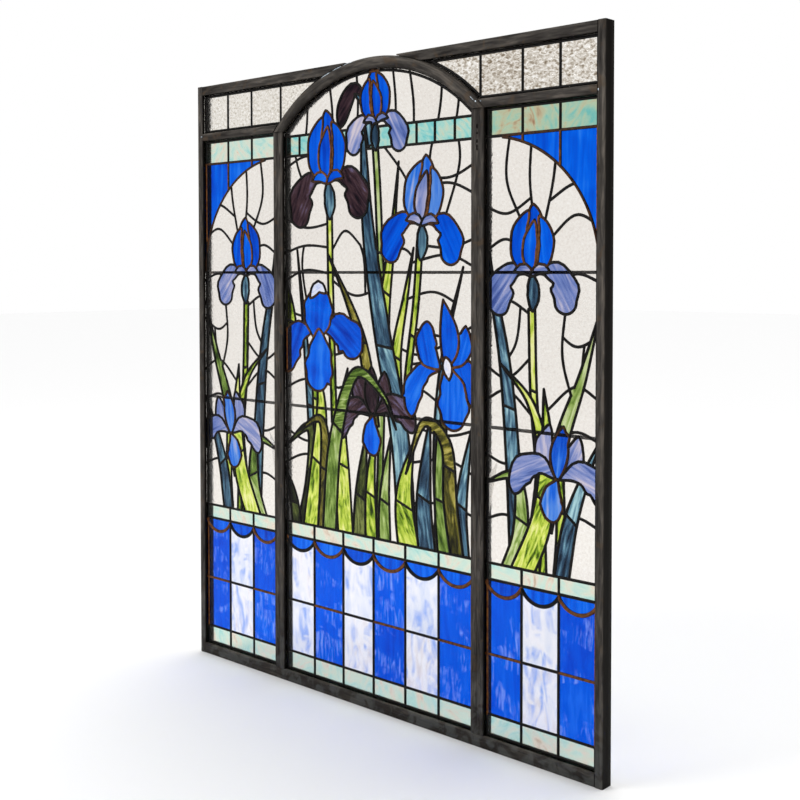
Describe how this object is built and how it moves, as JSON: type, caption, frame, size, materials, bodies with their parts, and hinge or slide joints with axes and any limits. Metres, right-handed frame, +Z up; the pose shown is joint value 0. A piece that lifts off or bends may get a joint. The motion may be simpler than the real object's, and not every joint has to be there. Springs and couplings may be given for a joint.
{
  "type": "leaded glass window panel",
  "caption": "Leaded glass window panel with iris pictures, checked base bands and an arched centre light in a dark metal frame.",
  "frame": {"origin": "middle of the underside of the bottom rail, at half the frame's depth", "axes": "+Z up, +X to the right seen from the front, the front faces -Y"},
  "size_m": [1.52, 0.044, 1.805],
  "materials": {
    "dark_metal": "dark brown-black patina, worn lighter on the edges, with bright solder streaks at joints",
    "steel_bar": "dull dark bar behind the glass",
    "leading": "black patina on rounded solder lines, copper-brown between blue panes",
    "clear_glass": "clear, seedy and hammered",
    "teal_glass": "streaky opalescent mint with tan wisps",
    "blue_glass": "streaky cobalt",
    "white_glass": "wispy white with pale blue"
  },
  "bodies": {
    "root": {"arch_bar": "dark_metal", "bottom_rail": "dark_metal", "centre_base_band": "teal_glass", "centre_check_column_1": "white_glass", "centre_check_column_2": "blue_glass", "centre_check_column_3": "white_glass", "centre_check_column_4": "blue_glass", "centre_check_column_5": "white_glass", "centre_check_column_6": "blue_glass", "centre_leading": "leading", "centre_middle_band": "teal_glass", "centre_picture": "clear_glass", "centre_saddle_bar_1": "steel_bar", "centre_saddle_bar_2": "steel_bar", "centre_swags": "blue_glass", "left_base_band": "teal_glass", "left_check_column_1": "blue_glass", "left_check_column_2": "white_glass", "left_check_column_3": "blue_glass", "left_leading": "leading", "left_middle_band": "teal_glass", "left_mullion": "dark_metal", "left_picture": "clear_glass", "left_saddle_bar_1": "steel_bar", "left_saddle_bar_2": "steel_bar", "left_spandrel": "blue_glass", "left_stile": "dark_metal", "left_swags": "blue_glass", "left_top_leading": "leading", "left_top_light": "clear_glass", "left_top_rail": "dark_metal", "left_transom": "dark_metal", "left_upper_band": "teal_glass", "right_base_band": "teal_glass", "right_check_column_1": "blue_glass", "right_check_column_2": "white_glass", "right_check_column_3": "blue_glass", "right_leading": "leading", "right_middle_band": "teal_glass", "right_mullion": "dark_metal", "right_picture": "clear_glass", "right_saddle_bar_1": "steel_bar", "right_saddle_bar_2": "steel_bar", "right_spandrel": "blue_glass", "right_stile": "dark_metal", "right_swags": "blue_glass", "right_top_leading": "leading", "right_top_light": "clear_glass", "right_top_rail": "dark_metal", "right_transom": "dark_metal", "right_upper_band": "teal_glass"}
  },
  "joints": []
}
